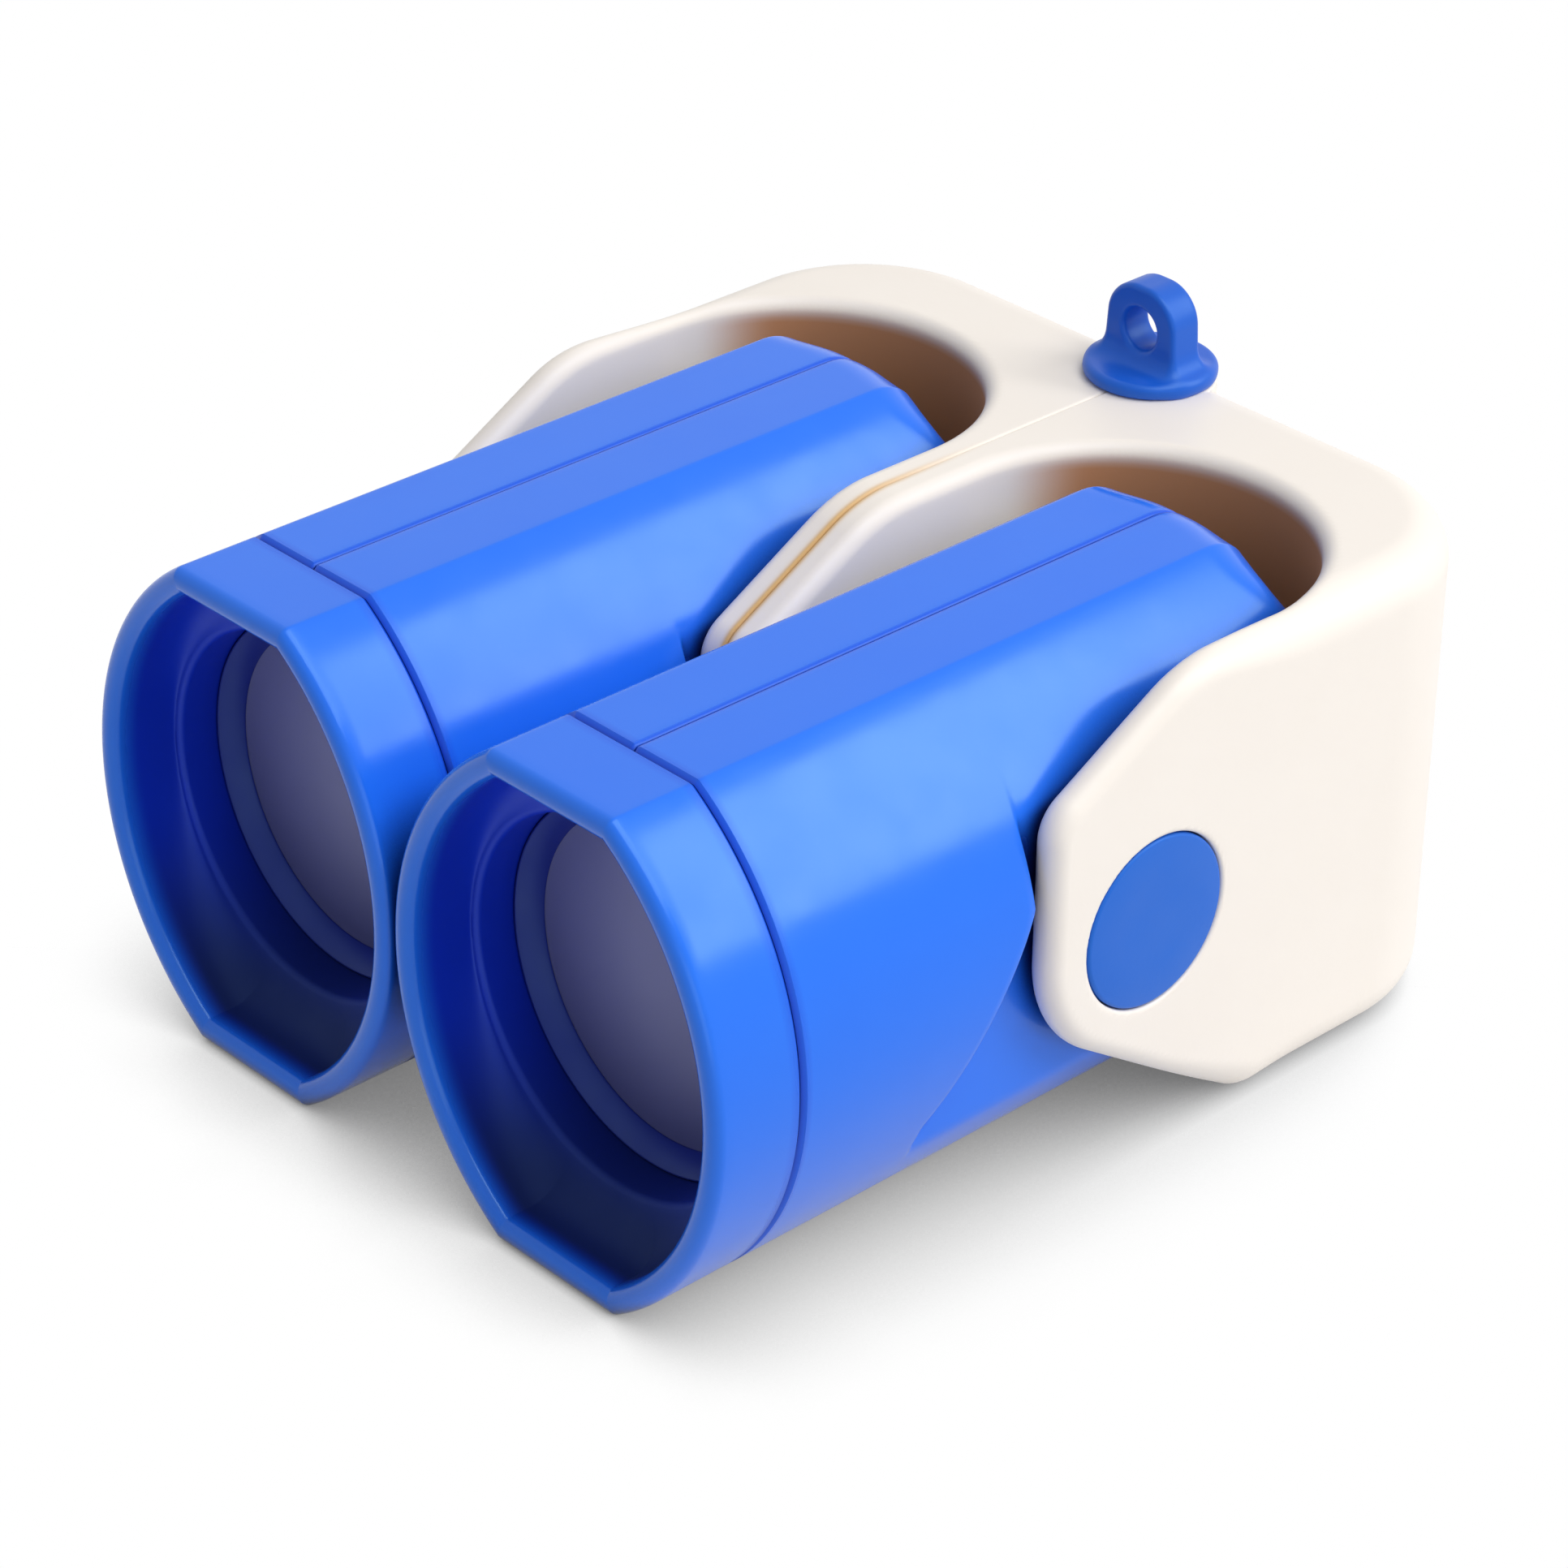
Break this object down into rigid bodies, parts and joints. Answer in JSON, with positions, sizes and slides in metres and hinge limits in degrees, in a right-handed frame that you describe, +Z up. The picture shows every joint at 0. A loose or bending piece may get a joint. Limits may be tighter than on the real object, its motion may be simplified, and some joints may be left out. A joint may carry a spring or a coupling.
{
  "type": "toy binoculars",
  "caption": "Toy binoculars with a cream body, round-sided blue barrels that fold down on side pivots, tinted lenses and a swivelling lanyard eyelet.",
  "frame": {"origin": "on the floor under the middle of the whole object's box", "axes": "+X to the right of someone facing the front, +Y from the front rims to the eyepieces, +Z up"},
  "size_m": [0.112, 0.132, 0.0765],
  "materials": {
    "body_plastic": "satin cream ABS",
    "barrel_plastic": "glossy blue ABS",
    "inner_plastic": "dark blue, satin",
    "objective_lens": "purple-grey tint",
    "eye_lens": "clear",
    "steel": "zinc plated",
    "washer_plastic": "white acetal"
  },
  "bodies": {
    "housing": {"left_body_shell": "body_plastic", "right_body_shell": "body_plastic", "left_eyepiece_cup": "barrel_plastic", "right_eyepiece_cup": "barrel_plastic", "left_eyepiece_lens": "eye_lens", "right_eyepiece_lens": "eye_lens", "left_eyepiece_ring": "inner_plastic", "right_eyepiece_ring": "inner_plastic", "shell_screws": "steel"},
    "left_barrel": {"left_barrel_outer_shell": "barrel_plastic", "left_barrel_inner_shell": "barrel_plastic", "left_front_cap": "barrel_plastic", "left_objective_lens": "objective_lens", "left_lens_ring": "inner_plastic", "left_rear_baffle": "inner_plastic", "left_outer_pivot_pin": "barrel_plastic", "left_inner_pivot_pin": "barrel_plastic", "left_outer_washer": "washer_plastic", "left_inner_washer": "washer_plastic"},
    "right_barrel": {"right_barrel_outer_shell": "barrel_plastic", "right_barrel_inner_shell": "barrel_plastic", "right_front_cap": "barrel_plastic", "right_objective_lens": "objective_lens", "right_lens_ring": "inner_plastic", "right_rear_baffle": "inner_plastic", "right_outer_pivot_pin": "barrel_plastic", "right_inner_pivot_pin": "barrel_plastic", "right_outer_washer": "washer_plastic", "right_inner_washer": "washer_plastic"},
    "eyelet": {"lanyard_eyelet": "barrel_plastic", "eyelet_clip": "steel"}
  },
  "joints": [
    {"name": "left_barrel_fold", "type": "hinge", "parent": "housing", "child": "left_barrel", "pos_m": [-0.028, 0.0016, 0.0325], "axis": [1, 0, 0], "range_deg": [0, 90]},
    {"name": "right_barrel_fold", "type": "hinge", "parent": "housing", "child": "right_barrel", "pos_m": [0.028, 0.0016, 0.0325], "axis": [1, 0, 0], "range_deg": [0, 90]},
    {"name": "eyelet_swivel", "type": "hinge", "parent": "housing", "child": "eyelet", "pos_m": [0, 0.0575, 0.064], "axis": [0, 0, 1], "continuous": true}
  ]
}
